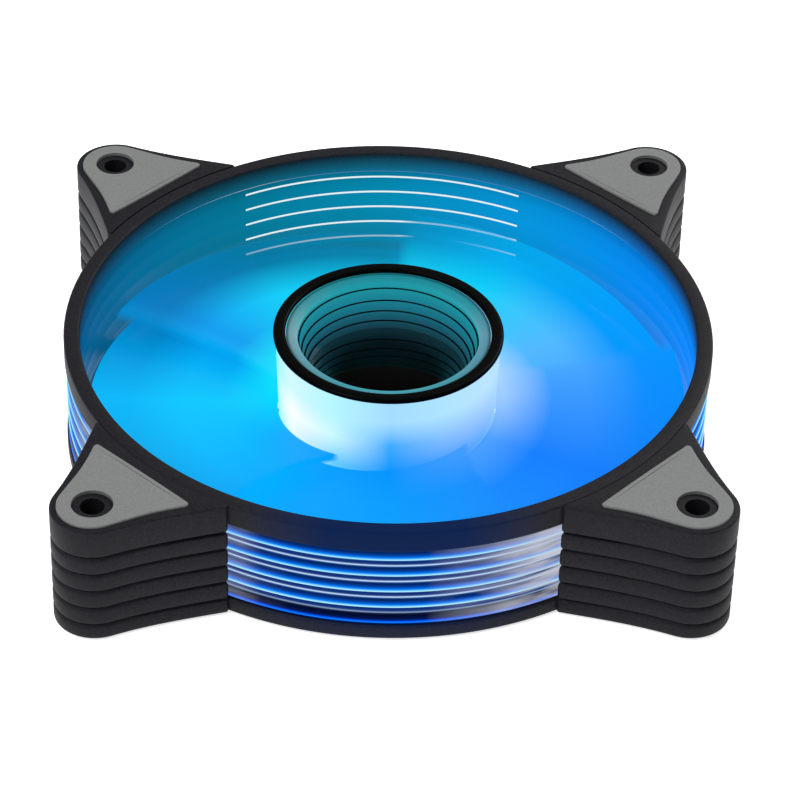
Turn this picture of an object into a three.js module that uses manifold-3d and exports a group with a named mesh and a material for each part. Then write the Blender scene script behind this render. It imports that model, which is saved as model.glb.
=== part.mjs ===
// A 120 mm case fan with an infinity-mirror hub and a clear ribbed light ring in its frame.
//
// Millimetres, +Z towards the front, the side that the mirror hub faces. Seen from there, +X is right and +Y up.
// The origin lies on the fan's axis, in the plane of the rear pads' faces.
// The fixed half is the frame with its pads and the motor's stator; the turning half is the impeller with its
// mirror hub, steel yoke, magnet and shaft.

import * as THREE from 'three';
import { mergeVertices } from 'three/addons/utils/BufferGeometryUtils.js';
import { ParametricGeometry } from 'three/addons/geometries/ParametricGeometry.js';
import Module from 'manifold-3d';

const wasm = await Module();
wasm.setup();

// ---------------------------------------------------------------- driving dimensions

const frameSide = 120; // across the square of four corners
const frameDepth = 25; // between the faces of the front and rear pads
const holeInset = 7.5; // screw hole centre from the frame's side, also the corner's nose radius
const holeRadius = 2.2;
const ringWall = 3; // black rims of the air duct, measured radially
const fitGap = 0.1; // between pieces that seat on each other

const padProud = 0.4; // how far a pad stands out of its corner
const padSink = 0.6; // and how deep it sits in it
const padEdge = 1.2; // corner edge left showing around the pad's nose
const padHoleRadius = 3.7;
const padTipRadius = 0.8;
const padTipSet = 1; // tip's near side, outside the pad's back edge
const padTipTurn = 15; // degrees short of straight out at which a tip runs into its cheek
const padTail = 5.6;
const padTipAngle = 9.9; // degrees from the corner's diagonal
const padBackStep = 2; // pad's back edge, outside the ring
const bossDrop = 0.25; // screw boss, below the corner's face

const cornerAngle = 16; // half the arc that a corner takes of the ring, in degrees
const cheekStep = 0.6; // corner's end face, standing out of the ring
const cheekLead = 8; // how straight the cheek leaves the ring
const cheekTail = 7; // and how straight it runs into the nose
const cheekLeadSlope = 14.5; // degrees
const cheekTailSlope = 24; // degrees
const frontBand = 6; // height of the corner's front band, to the parting line
const rearBand = 3;
const grooveCount = 4; // grooves in each rear corner post, besides the parting line
const grooveHeight = 0.7;
const grooveDepth = 0.6;

const frontRim = 4.4; // height of the front rim
const rearRim = 2.8;
const ridgeCount = 5; // clear ridges of the light ring
const ridgeDepth = 1;
const ridgeTuck = 0.5; // how far the end ridges would reach under the rims
const ridgeSetback = 0.2; // ridge crests, inside the rims' outer face

const bladeCount = 5;
const tipClearance = 1.2;
const bladeThickness = 1.6;
const bladeFullness = 0.4; // how soon a blade reaches its thickness: 1 is a slow swell, 0 a square edge
const bladeTrailGap = 1.6; // trailing tip of a blade, in front of the struts
const bladeTipDrop = 13.8; // leading tip, behind the frame's front face
const bladeRootLift = 1; // trailing root, in front of the hub's rear edge
const bladeRootRise = 4.6; // leading root, in front of the trailing root
const bladeRootChord = 96; // degrees
const bladeTipChord = 82;
const bladeSweep = 6; // how soon the leading edge falls back from the root's chord to the tip's
const bladeTrailReach = 4; // degrees that the tip trails behind the root
const bladePhase = 4; // trailing root of the first blade, degrees from +X

const hubRadius = 21.4;
const hubWall = 1.2;
const hubRecess = 1.1; // hub's front face, behind the frame's
const bezelWidth = 2.3;
const bezelHeight = 1;
const lensThickness = 0.6;
const glowRingWidth = 2.1; // sloped light ring between the bezel and the mirror well
const glowRingDrop = 0.9;
const glowRingHeight = 1.4;
const wellSteps = 8;
const wellWall = 0.7;
const wellFloor = 0.6;
const wellTaper = 3.6; // how much narrower the well is at its floor
const wellLip = 0.35; // height of the slope between two rings

const baseThickness = 1.6;
const baseRadius = 20.8;
const strutCount = 4;
const strutWidth = 3.4;
const strutThickness = 2.2;
const cableStrutWidth = 6.6;
const cableChannelWidth = 3.4;
const cableChannelDepth = 1.5;
const strutInnerAngle = 52; // degrees, of the first strut
const strutOuterAngle = 66;
const labelRadius = 16;
const labelThickness = 0.15;
const labelRecess = 0.3;

const ledgeWidth = 2; // ring around the bearing tube that carries the board
const hubRunGap = 0.6; // rear edge of the turning hub, in front of the struts
const boardThickness = 0.8;
const boardEdgeGap = 0.7; // board's edge to the inside of the hub
const ledCount = 8;
const ledSize = 2;
const ledHeight = 0.7;
const ledInset = 1.7; // light centre from the board's edge
const chipWidth = 3;
const chipHeight = 0.7;
const sensorThickness = 1.4;
const sensorWidth = 2.6;

const shaftRadius = 1.5;
const bearingWall = 1.6;
const runningGap = 0.04; // shaft in its bearing
const tubeWall = 0.9;
const statorRadius = 12.2;
const statorHeight = 3.2;
const airGap = 0.5;
const magnetWall = 1.7;
const yokeWall = 0.8;
const yokeClearance = 1; // yoke's rim above the board
const coilHeadroom = 0.9; // windings above and below the core
const toothCount = 4;
const toothWidth = 3;
const toothTip = 1.4; // thickness of a pole face
const toothTipAngle = 74; // degrees that a pole face covers
const statorCore = 2.1; // wall of the core's hub
const coilWall = 1.6;
const insulatorThickness = 0.4;
const shaftCover = 0.3; // hub's wall left over the shaft's end
const bossRadius = 3.2;
const bossHeight = 1.1;
const collarWall = 1;
const clipThickness = 0.4;
const clipRadius = 2.5;

const outlineSegments = 3; // facets of each curve in an outline, and of each half arc
const ductSegments = 60; // facets of the circles about the fan's axis
const hubSegments = 36;
const motorSegments = 24;
const holeSegments = 16;

// ---------------------------------------------------------------- derived places

const rearFace = padProud;
const frontFace = frameDepth - padProud;
const ringOuter = frameSide / 2;
const ductRadius = ringOuter - ringWall;
const holeOffset = frameSide / 2 - holeInset;
const partingZ = frontFace - frontBand;
const frontRimZ = frontFace - frontRim;
const rearRimZ = rearFace + rearRim;
const cornerSeat = ringOuter; // inner face of a corner, behind the light ring

const hubTop = frontFace - hubRecess;
const hubInner = hubRadius - hubWall;
const bezelInner = hubRadius - bezelWidth;
const bezelZ = hubTop - bezelHeight;

const baseTop = rearFace + baseThickness;
const strutTop = rearFace + strutThickness;
const boardZ = strutTop + fitGap;
const boardTop = boardZ + boardThickness;
const boardRadius = hubInner - boardEdgeGap;
const hubFoot = strutTop + hubRunGap;

const bladeRootTrailZ = hubFoot + bladeRootLift;
const bladeRootLeadZ = bladeRootTrailZ + bladeRootRise;
const bladeTipTrailZ = strutTop + bladeTrailGap;
const bladeTipLeadZ = frontFace - bladeTipDrop;

const bearingRadius = shaftRadius + bearingWall;
const tubeInner = bearingRadius + fitGap;
const tubeRadius = tubeInner + tubeWall;
const statorInner = tubeRadius + fitGap;
const coilSide = insulatorThickness + coilHeadroom;
const statorZ = boardTop + coilSide + fitGap;
const statorTop = statorZ + statorHeight;
const magnetInner = statorRadius + airGap;
const magnetOuter = magnetInner + magnetWall;
const yokeInner = magnetOuter + fitGap;
const yokeRadius = yokeInner + yokeWall;
const yokeFoot = boardTop + yokeClearance;
const yokeCeiling = statorTop + coilSide + 2 * fitGap + airGap;
const yokeTop = yokeCeiling + yokeWall;
const hubFloorZ = yokeTop + fitGap;
const hubFloorTop = hubFloorZ + hubWall;

const lensRadius = bezelInner - fitGap;
const lensZ = hubTop - lensThickness;
const glowRingTop = lensZ - fitGap;
const glowRingInner = lensRadius - glowRingWidth;
const wellMouthZ = glowRingTop - glowRingHeight;
const wellFloorZ = hubFloorTop + fitGap;

const toRadians = THREE.MathUtils.degToRad;

// ---------------------------------------------------------------- solids

function polar(radius, degrees) {
	return new THREE.Vector2(radius * Math.cos(toRadians(degrees)), radius * Math.sin(toRadians(degrees)));
}

// Turns a profile of [radius, z] pairs, listed anticlockwise, about the fan's axis.
function revolve(profile, segments = motorSegments) {
	const closed = profile[0][0] === 0 ? profile : [...profile, profile[0]];
	const points = closed.map(([radius, z]) => new THREE.Vector2(radius, z));
	return new THREE.LatheGeometry(points, segments).rotateX(Math.PI / 2);
}

function disc(radius, low, high, segments = motorSegments) {
	return revolve([[0, low], [radius, low], [radius, high], [0, high]], segments);
}

function ring(inner, outer, low, high, segments = motorSegments) {
	return revolve([[inner, low], [outer, low], [outer, high], [inner, high]], segments);
}

function raise(shape, low, high) {
	const options = { depth: high - low, bevelEnabled: false, curveSegments: outlineSegments };
	return new THREE.ExtrudeGeometry(shape, options).translate(0, 0, low);
}

function block(width, length, low, high, x, y) {
	return new THREE.BoxGeometry(width, length, high - low).translate(x, y, (low + high) / 2);
}

function toSolid(geometry) {
	const loose = geometry.index ? geometry.toNonIndexed() : geometry;
	const bare = new THREE.BufferGeometry().setAttribute('position', loose.getAttribute('position'));
	const merged = mergeVertices(bare, 1e-4);
	return new wasm.Manifold(new wasm.Mesh({
		numProp: 3,
		vertProperties: merged.attributes.position.array,
		triVerts: new Uint32Array(merged.index.array),
	}));
}

function join(geometries) {
	return geometries.map(toSolid).reduce((whole, piece) => whole.add(piece));
}

function cut(solid, geometries) {
	return geometries.map(toSolid).reduce((whole, piece) => whole.subtract(piece), solid);
}

function toGeometry(solid) {
	const mesh = solid.getMesh();
	return new THREE.BufferGeometry()
		.setAttribute('position', new THREE.BufferAttribute(new Float32Array(mesh.vertProperties), 3))
		.setIndex(new THREE.BufferAttribute(new Uint32Array(mesh.triVerts), 1));
}

// The same geometry once for each quarter turn, starting from the corner at +X +Y.
function atCorners(make) {
	return [0, 1, 2, 3].map((quarter) => make().rotateZ(quarter * Math.PI / 2));
}

// ---------------------------------------------------------------- corner outlines

// Plan of the corner at +X +Y: a round nose about the screw hole, and a hollow cheek down to the ring each side.
function cornerShape(innerRadius, inset = 0) {
	const reach = cornerAngle - THREE.MathUtils.radToDeg(inset / ringOuter);
	const nose = holeInset - inset;
	const start = polar(ringOuter + cheekStep - inset, 45 - reach);
	const lead = start.clone().add(polar(cheekLead, 90 - cheekLeadSlope));
	const noseStart = new THREE.Vector2(holeOffset, holeOffset).add(polar(nose, -cheekTailSlope));
	const tail = noseStart.clone().sub(polar(cheekTail, 90 - cheekTailSlope));
	const shape = new THREE.Shape();
	shape.moveTo(start.x, start.y);
	shape.bezierCurveTo(lead.x, lead.y, tail.x, tail.y, noseStart.x, noseStart.y);
	shape.absarc(holeOffset, holeOffset, nose, toRadians(-cheekTailSlope), toRadians(90 + cheekTailSlope));
	shape.bezierCurveTo(tail.y, tail.x, lead.y, lead.x, start.y, start.x);
	shape.absarc(0, 0, innerRadius, toRadians(45 + reach), toRadians(45 - reach), true);
	return shape;
}

// Plan of a pad: the corner's outline drawn in, ending in two small round tips beside the ring.
function padShape(grow = 0) {
	const nose = holeInset - padEdge + grow;
	const tipRadius = padTipRadius + grow;
	const backRadius = ringOuter + padBackStep - grow;
	const tip = polar(backRadius + padTipSet + tipRadius, 45 - padTipAngle);
	const tipStart = tip.clone().add(polar(tipRadius, -90 - padTipAngle));
	const tipSide = tip.clone().add(polar(tipRadius, -padTipTurn));
	const lead = tipSide.clone().add(polar(cheekTail, 90 - cheekLeadSlope));
	const noseStart = new THREE.Vector2(holeOffset, holeOffset).add(polar(nose, -cheekTailSlope));
	const tail = noseStart.clone().sub(polar(padTail, 90 - cheekTailSlope));
	const back = polar(backRadius, 45);
	const shape = new THREE.Shape();
	shape.moveTo(tipStart.x, tipStart.y);
	shape.absarc(tip.x, tip.y, tipRadius, toRadians(-90 - padTipAngle), toRadians(-padTipTurn));
	shape.bezierCurveTo(lead.x, lead.y, tail.x, tail.y, noseStart.x, noseStart.y);
	shape.absarc(holeOffset, holeOffset, nose, toRadians(-cheekTailSlope), toRadians(90 + cheekTailSlope));
	shape.bezierCurveTo(tail.y, tail.x, lead.y, lead.x, tipSide.y, tipSide.x);
	shape.absarc(tip.y, tip.x, tipRadius, toRadians(90 + padTipTurn), toRadians(180 + padTipAngle));
	shape.quadraticCurveTo(back.x, back.y, tipStart.x, tipStart.y);
	return shape;
}

function atHole(geometry) {
	return geometry.translate(holeOffset, holeOffset, 0);
}

function padGeometry(low, high) {
	const hole = atHole(disc(padHoleRadius, low - 1, high + 1, holeSegments));
	return toGeometry(cut(toSolid(raise(padShape(), low, high)), [hole]));
}

// ---------------------------------------------------------------- frame

// Cuts a pad's seat into each corner, leaves the screw boss standing in it, and drills the corner through.
function finishCorners(solid, seatLow, seatHigh, bossLow, bossHigh) {
	const seats = atCorners(() => raise(padShape(fitGap), seatLow, seatHigh));
	const bosses = atCorners(() => atHole(disc(padHoleRadius - fitGap, bossLow, bossHigh, holeSegments)));
	const holes = atCorners(() => atHole(disc(holeRadius, -1, frameDepth + 1, holeSegments)));
	const seated = cut(solid, seats);
	return cut(bosses.map(toSolid).reduce((whole, boss) => whole.add(boss), seated), holes);
}

function frontShell() {
	const blank = join([
		ring(ductRadius, ringOuter, frontRimZ, frontFace, ductSegments),
		...atCorners(() => raise(cornerShape(ringOuter - ringWall / 2), frontRimZ, frontFace)),
		...atCorners(() => raise(cornerShape(cornerSeat), partingZ, frontRimZ)),
	]);
	const seatZ = frontFace - padSink;
	return toGeometry(finishCorners(blank, seatZ, frontFace + 1, seatZ - 1, frontFace - bossDrop));
}

// One grooved post: a core drawn in by the groove's depth, with a full-size band between each two grooves.
function cornerPost() {
	const postTop = partingZ - fitGap;
	const firstGroove = rearFace + rearBand;
	const pitch = (partingZ - firstGroove) / grooveCount;
	const bands = [raise(cornerShape(cornerSeat), rearFace, firstGroove - grooveHeight / 2)];
	for (let i = 0; i < grooveCount; i++) {
		const low = firstGroove + i * pitch + grooveHeight / 2;
		const high = Math.min(firstGroove + (i + 1) * pitch - grooveHeight / 2, postTop);
		bands.push(raise(cornerShape(cornerSeat), low, high));
	}
	return join([raise(cornerShape(cornerSeat, grooveDepth), rearFace, postTop), ...bands]);
}

function strutShape(index, width) {
	const turn = index * 360 / strutCount;
	const inner = polar(baseRadius - ringWall, strutInnerAngle + turn);
	const outer = polar(ductRadius + ringWall / 2, strutOuterAngle + turn);
	const side = outer.clone().sub(inner).normalize().multiplyScalar(width / 2);
	side.set(-side.y, side.x);
	const shape = new THREE.Shape();
	shape.moveTo(inner.x + side.x, inner.y + side.y);
	shape.lineTo(inner.x - side.x, inner.y - side.y);
	shape.lineTo(outer.x - side.x, outer.y - side.y);
	shape.lineTo(outer.x + side.x, outer.y + side.y);
	return shape;
}

// The cable's open channel, along the first strut's rear face, through the base's edge and out at the rim.
function cableChannel() {
	const inner = polar(labelRadius, strutInnerAngle);
	const outer = polar(ductRadius + ringWall / 2, strutOuterAngle);
	const run = outer.clone().sub(inner);
	const length = run.length() + 2 * ringWall;
	const middle = inner.add(run.clone().setLength(length / 2));
	return block(length, cableChannelWidth, rearFace - 1, rearFace + cableChannelDepth, 0, 0)
		.rotateZ(run.angle())
		.translate(middle.x, middle.y, 0);
}

function rearShell() {
	const posts = cornerPost();
	const turned = [90, 180, 270].map((angle) => posts.rotate([0, 0, angle]));
	const struts = [];
	for (let i = 0; i < strutCount; i++) {
		const width = i === 0 ? cableStrutWidth : strutWidth;
		struts.push(raise(strutShape(i, width), rearFace, strutTop));
	}
	const plain = join([
		ring(ductRadius, ringOuter, rearFace, rearRimZ, ductSegments),
		...atCorners(() => raise(cornerShape(ringOuter - ringWall / 2), rearFace, rearRimZ)),
		disc(baseRadius, rearFace, baseTop, hubSegments),
		disc(tubeRadius + ledgeWidth, rearFace, strutTop),
		...struts,
	]);
	const whole = turned.reduce((sum, post) => sum.add(post), plain.add(posts));
	const open = cut(whole, [
		disc(tubeRadius + fitGap, rearFace - 1, strutTop + 1),
		disc(labelRadius + fitGap, rearFace - 1, rearFace + labelRecess, hubSegments),
		cableChannel(),
	]);
	const seatZ = rearFace + padSink;
	return toGeometry(finishCorners(open, rearFace - 1, seatZ, rearFace + bossDrop, seatZ + 1));
}

// Clear ring between the rims, with rounded ridges around the outside.
function lightRing() {
	const low = rearRimZ + fitGap;
	const high = frontRimZ - fitGap;
	const pitch = (frontRimZ - rearRimZ + 2 * ridgeTuck) / ridgeCount;
	const crest = ringOuter - ridgeSetback;
	const valley = crest - ridgeDepth;
	const profile = [[ductRadius, low], [valley + ridgeDepth / 2, low]];
	for (let i = 0; i < ridgeCount; i++) {
		const middle = rearRimZ - ridgeTuck + (i + 0.5) * pitch;
		profile.push([crest, middle]);
		if (i < ridgeCount - 1) profile.push([valley, middle + pitch / 2]);
	}
	profile.push([valley + ridgeDepth / 2, high], [ductRadius, high]);
	return revolve(profile, ductSegments);
}

// ---------------------------------------------------------------- motor, fixed half

// Plan of a pole plate: a hub with four teeth that end in curved pole faces.
function poleSolid(low, high, outer, faceThickness, width) {
	const teeth = [];
	for (let i = 0; i < toothCount; i++) {
		const turn = i * 360 / toothCount;
		const half = toothTipAngle / 2;
		const face = new THREE.Shape();
		face.absarc(0, 0, outer, toRadians(turn - half), toRadians(turn + half));
		face.absarc(0, 0, outer - faceThickness, toRadians(turn + half), toRadians(turn - half), true);
		const reach = outer - faceThickness / 2 - statorInner;
		const tooth = block(reach, width, low, high, statorInner + reach / 2 + fitGap, 0);
		teeth.push(raise(face, low, high), tooth.rotateZ(toRadians(turn)));
	}
	const hub = ring(statorInner, statorInner + statorCore, low, high);
	return cut(join([hub, ...teeth]), [disc(statorInner, low - 1, high + 1)]);
}

function coil() {
	const low = statorZ - insulatorThickness;
	const high = statorTop + insulatorThickness;
	const inner = statorInner + statorCore + 2 * fitGap;
	const bore = toothWidth / 2 + fitGap;
	const outer = Math.sqrt((statorRadius - toothTip) ** 2 - (bore + coilWall) ** 2) - 2 * fitGap;
	const middle = (inner + outer) / 2;
	const foot = low - fitGap - coilHeadroom / 2;
	const top = high + fitGap + coilHeadroom / 2;
	const body = block(outer - inner, 2 * (bore + coilWall), foot, top, middle, 0);
	const core = block(outer - inner + 2, 2 * bore, low - fitGap, high + fitGap, middle, 0);
	return toGeometry(cut(toSolid(body), [core, disc(inner, foot - 1, top + 1)]));
}

function circuitBoard() {
	const board = toSolid(disc(boardRadius, boardZ, boardTop, hubSegments));
	return toGeometry(cut(board, [disc(tubeRadius + fitGap, boardZ - 1, boardTop + 1)]));
}

// ---------------------------------------------------------------- rotor

// One blade as a closed surface: around runs over its rear face from the trailing to the leading edge and back
// over its front face, and row runs from root to tip. The first and the last row close the ends.
function bladeGeometry() {
	const root = hubRadius - hubWall / 2;
	const tip = ductRadius - tipClearance;
	const spanSteps = 6;
	const chordSteps = 9;
	const mix = THREE.MathUtils.lerp;
	const camber = (along, out, target) => {
		const radius = mix(root, tip, out);
		const trail = -bladeTrailReach * out;
		const lead = mix(bladeTipChord, bladeRootChord, (1 - out) ** bladeSweep);
		const trailZ = mix(bladeRootTrailZ, bladeTipTrailZ, out);
		const leadZ = mix(bladeRootLeadZ, bladeTipLeadZ, out);
		const place = polar(radius, bladePhase + mix(trail, lead, along));
		return target.set(place.x, place.y, mix(trailZ, leadZ, along));
	};
	const step = 1e-3;
	const across = new THREE.Vector3();
	const aheadPoint = new THREE.Vector3();
	const outPoint = new THREE.Vector3();
	const surface = (around, row, target) => {
		const out = THREE.MathUtils.clamp((row * spanSteps - 1) / (spanSteps - 2), 0, 1);
		const front = around > 0.5;
		const along = front ? 2 - 2 * around : 2 * around;
		camber(along, out, target);
		camber(along + step, out, aheadPoint).sub(target);
		camber(along, out + step, outPoint).sub(target);
		across.crossVectors(outPoint, aheadPoint).normalize();
		const endRow = row < 0.5 / spanSteps || row > 1 - 0.5 / spanSteps;
		const half = endRow ? 0 : bladeThickness / 2 * Math.sin(Math.PI * along) ** bladeFullness;
		target.addScaledVector(across, front ? half : -half);
	};
	return new ParametricGeometry(surface, 2 * chordSteps, spanSteps);
}

function impeller() {
	const hub = toSolid(revolve([
		[hubInner, hubFoot],
		[hubRadius, hubFoot],
		[hubRadius, bezelZ - fitGap],
		[hubInner, bezelZ - fitGap],
		[hubInner, hubFloorTop],
		[0, hubFloorTop],
		[0, hubFloorZ],
		[yokeRadius + fitGap, hubFloorZ],
		[yokeRadius + fitGap, yokeFoot + collarWall],
		[yokeRadius + fitGap + collarWall, yokeFoot + collarWall],
		[yokeRadius + fitGap + collarWall, hubFloorZ],
		[hubInner, hubFloorZ],
	], hubSegments));
	const blade = toSolid(bladeGeometry());
	const shaftHole = disc(shaftRadius + fitGap, hubFloorZ - 1, hubFloorTop - shaftCover + fitGap, holeSegments);
	let whole = cut(hub, [shaftHole]);
	for (let i = 0; i < bladeCount; i++) whole = whole.add(blade.rotate([0, 0, i * 360 / bladeCount]));
	return toGeometry(whole);
}

// Stepped cup whose rings draw in towards a dark floor: the depth that the mirror hub shows.
function mirrorWell() {
	const inner = glowRingInner;
	const depth = wellMouthZ - (wellFloorZ + wellFloor);
	const rise = depth / wellSteps;
	const draw = wellTaper / wellSteps;
	const profile = [[0, wellFloorZ], [inner + wellWall, wellFloorZ], [inner + wellWall, wellMouthZ - fitGap]];
	for (let i = 0; i < wellSteps; i++) {
		const top = wellMouthZ - fitGap - i * rise;
		profile.push([inner - i * draw, top], [inner - i * draw, top - rise + wellLip]);
	}
	profile.push([inner - wellTaper, wellFloorZ + wellFloor], [0, wellFloorZ + wellFloor]);
	return revolve(profile, motorSegments);
}

function hubLightRing() {
	const outer = lensRadius;
	return revolve([
		[glowRingInner, wellMouthZ],
		[outer, wellMouthZ],
		[outer, glowRingTop],
		[outer - fitGap, glowRingTop],
		[glowRingInner, glowRingTop - glowRingDrop],
	], hubSegments);
}

function hubBezel() {
	return ring(bezelInner, hubRadius, bezelZ, hubTop, hubSegments);
}

function rotorYoke() {
	return revolve([
		[yokeInner, yokeFoot],
		[yokeRadius, yokeFoot],
		[yokeRadius, yokeTop],
		[shaftRadius + fitGap, yokeTop],
		[shaftRadius + fitGap, yokeCeiling],
		[yokeInner, yokeCeiling],
	], hubSegments);
}

// ---------------------------------------------------------------- assembly

const fan = new THREE.Group();

const finishes = {
	blackPlastic: new THREE.MeshStandardMaterial({ color: 0x232227, roughness: 0.55 }),
	greyRubber: new THREE.MeshStandardMaterial({ color: 0x80827f, roughness: 0.8 }),
	clearPlastic: new THREE.MeshStandardMaterial({ color: 0xbfd8f2, roughness: 0.1, transparent: true, opacity: 0.5 }),
	frostedPlastic: new THREE.MeshStandardMaterial({ color: 0x39b6f5, roughness: 0.35 }),
	glowPlastic: new THREE.MeshStandardMaterial({ color: 0x1fb3c6, roughness: 0.4 }),
	bezelPlastic: new THREE.MeshStandardMaterial({ color: 0x020708, roughness: 0.2 }),
	mirrorGlass: new THREE.MeshStandardMaterial({ color: 0x1d6577, roughness: 0.05, transparent: true, opacity: 0.3 }),
	tunnelPlastic: new THREE.MeshStandardMaterial({ color: 0x17727f, roughness: 0.3 }),
	steel: new THREE.MeshStandardMaterial({ color: 0xa7abb0, roughness: 0.35, metalness: 1 }),
	siliconSteel: new THREE.MeshStandardMaterial({ color: 0x6d7177, roughness: 0.5, metalness: 1 }),
	ferrite: new THREE.MeshStandardMaterial({ color: 0x2b2a2c, roughness: 0.8 }),
	copper: new THREE.MeshStandardMaterial({ color: 0xb4622f, roughness: 0.4, metalness: 1 }),
	brass: new THREE.MeshStandardMaterial({ color: 0xb8923f, roughness: 0.35, metalness: 1 }),
	bronze: new THREE.MeshStandardMaterial({ color: 0x9c7a3f, roughness: 0.5, metalness: 1 }),
	whiteNylon: new THREE.MeshStandardMaterial({ color: 0xe8e6df, roughness: 0.5 }),
	boardLacquer: new THREE.MeshStandardMaterial({ color: 0x1d2a24, roughness: 0.4 }),
	ledResin: new THREE.MeshStandardMaterial({ color: 0xf2f1e4, roughness: 0.3 }),
	chipResin: new THREE.MeshStandardMaterial({ color: 0x151517, roughness: 0.6 }),
	labelFilm: new THREE.MeshStandardMaterial({ color: 0x2c2d30, roughness: 0.4 }),
};

function place(name, geometry, material, parent = fan) {
	const mesh = new THREE.Mesh(geometry, material);
	mesh.name = name;
	parent.add(mesh);
	return mesh;
}

place('front_shell', frontShell(), finishes.blackPlastic);
place('rear_shell', rearShell(), finishes.blackPlastic);
place('light_ring', lightRing(), finishes.clearPlastic);

const cornerNames = ['top_right', 'top_left', 'bottom_left', 'bottom_right'];
cornerNames.forEach((name, quarter) => {
	const corner = new THREE.Group();
	corner.rotation.z = quarter * Math.PI / 2;
	fan.add(corner);
	const seatZ = frontFace - padSink + fitGap;
	place('front_pad_' + name, padGeometry(seatZ, frameDepth), finishes.greyRubber, corner);
	place('rear_pad_' + name, padGeometry(0, rearFace + padSink - fitGap), finishes.greyRubber, corner);
});

const labelZ = rearFace + fitGap;
place('rear_label', disc(labelRadius, labelZ, labelZ + labelThickness, hubSegments), finishes.labelFilm);

const shaftFoot = rearFace + labelRecess + 2 * fitGap;
const clipFoot = shaftFoot + fitGap;
const bearingFoot = clipFoot + clipThickness + fitGap;
const tubeFoot = rearFace + labelRecess;
const bossFoot = yokeCeiling - fitGap - bossHeight;
const tubeTop = bossFoot - airGap;
const bearingInner = shaftRadius + runningGap;
place('bearing_tube', ring(tubeInner, tubeRadius, tubeFoot, tubeTop), finishes.brass);
place('sleeve_bearing', ring(bearingInner, bearingRadius, bearingFoot, tubeTop - fitGap), finishes.bronze);
place('circuit_board', circuitBoard(), finishes.boardLacquer);

const core = poleSolid(statorZ, statorTop, statorRadius, toothTip, toothWidth);
place('stator_core', toGeometry(core), finishes.siliconSteel);

const insulators = { rear: statorZ - insulatorThickness, front: statorTop };
Object.entries(insulators).forEach(([side, low]) => {
	const high = low + insulatorThickness;
	const plate = poleSolid(low, high, statorRadius - fitGap, toothTip - fitGap, toothWidth);
	place('stator_insulator_' + side, toGeometry(plate), finishes.whiteNylon);
});

for (let i = 0; i < toothCount; i++) {
	const tooth = new THREE.Group();
	tooth.rotation.z = i * 2 * Math.PI / toothCount;
	fan.add(tooth);
	place('coil_' + (i + 1), coil(), finishes.copper, tooth);
}

const chipArm = new THREE.Group();
chipArm.rotation.z = Math.PI / toothCount;
fan.add(chipArm);
const chipFoot = boardTop + fitGap;
const chipTop = chipFoot + chipHeight;
const chipX = (statorInner + statorRadius) / 2 + fitGap;
const sensorX = (magnetInner + magnetOuter) / 2;
const sensor = block(sensorThickness, sensorWidth, chipFoot, chipTop - fitGap, sensorX, 0);
place('driver_chip', block(chipWidth, chipWidth, chipFoot, chipTop, chipX, 0), finishes.chipResin, chipArm);
place('hall_sensor', sensor, finishes.chipResin, chipArm);

for (let i = 0; i < ledCount; i++) {
	const arm = new THREE.Group();
	arm.rotation.z = (i + 0.5) * 2 * Math.PI / ledCount;
	fan.add(arm);
	const led = block(ledSize, ledSize, boardTop, boardTop + ledHeight, boardRadius - ledInset, 0);
	place('led_' + (i + 1), led, finishes.ledResin, arm);
}

const rotor = new THREE.Group();
fan.add(rotor);
place('impeller', impeller(), finishes.frostedPlastic, rotor);
place('hub_bezel', hubBezel(), finishes.bezelPlastic, rotor);
place('mirror_lens', disc(lensRadius, lensZ, hubTop, hubSegments), finishes.mirrorGlass, rotor);
place('hub_light_ring', hubLightRing(), finishes.glowPlastic, rotor);
place('mirror_well', mirrorWell(), finishes.tunnelPlastic, rotor);
place('rotor_yoke', rotorYoke(), finishes.steel, rotor);

const magnet = ring(magnetInner, magnetOuter, yokeFoot + fitGap, yokeCeiling - fitGap, hubSegments);
const boss = ring(shaftRadius + fitGap, bossRadius, bossFoot, yokeCeiling - fitGap, holeSegments);
const clip = ring(shaftRadius + fitGap, clipRadius, clipFoot, clipFoot + clipThickness, holeSegments);
place('ring_magnet', magnet, finishes.ferrite, rotor);
place('shaft_boss', boss, finishes.brass, rotor);
place('shaft', disc(shaftRadius, shaftFoot, hubFloorTop - shaftCover, holeSegments), finishes.steel, rotor);
place('retaining_clip', clip, finishes.whiteNylon, rotor);

export default fan;
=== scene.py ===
import math

import bmesh
import bpy
from mathutils import Matrix, Vector


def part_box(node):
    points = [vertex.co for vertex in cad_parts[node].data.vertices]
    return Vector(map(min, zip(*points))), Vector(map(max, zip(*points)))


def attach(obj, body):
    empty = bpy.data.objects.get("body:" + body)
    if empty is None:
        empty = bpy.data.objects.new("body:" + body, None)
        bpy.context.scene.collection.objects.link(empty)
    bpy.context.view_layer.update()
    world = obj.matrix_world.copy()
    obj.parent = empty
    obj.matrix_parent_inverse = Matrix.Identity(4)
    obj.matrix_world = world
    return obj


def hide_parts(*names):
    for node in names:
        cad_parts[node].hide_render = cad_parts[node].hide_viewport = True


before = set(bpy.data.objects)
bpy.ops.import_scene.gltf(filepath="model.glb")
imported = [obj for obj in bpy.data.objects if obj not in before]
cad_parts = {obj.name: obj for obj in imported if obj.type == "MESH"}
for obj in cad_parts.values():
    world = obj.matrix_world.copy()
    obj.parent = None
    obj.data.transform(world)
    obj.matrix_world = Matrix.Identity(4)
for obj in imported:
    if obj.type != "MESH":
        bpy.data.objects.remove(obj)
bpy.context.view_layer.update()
print("frame loaded:", len(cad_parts), "nodes")


def mm(value):
    return value / 1000


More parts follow.
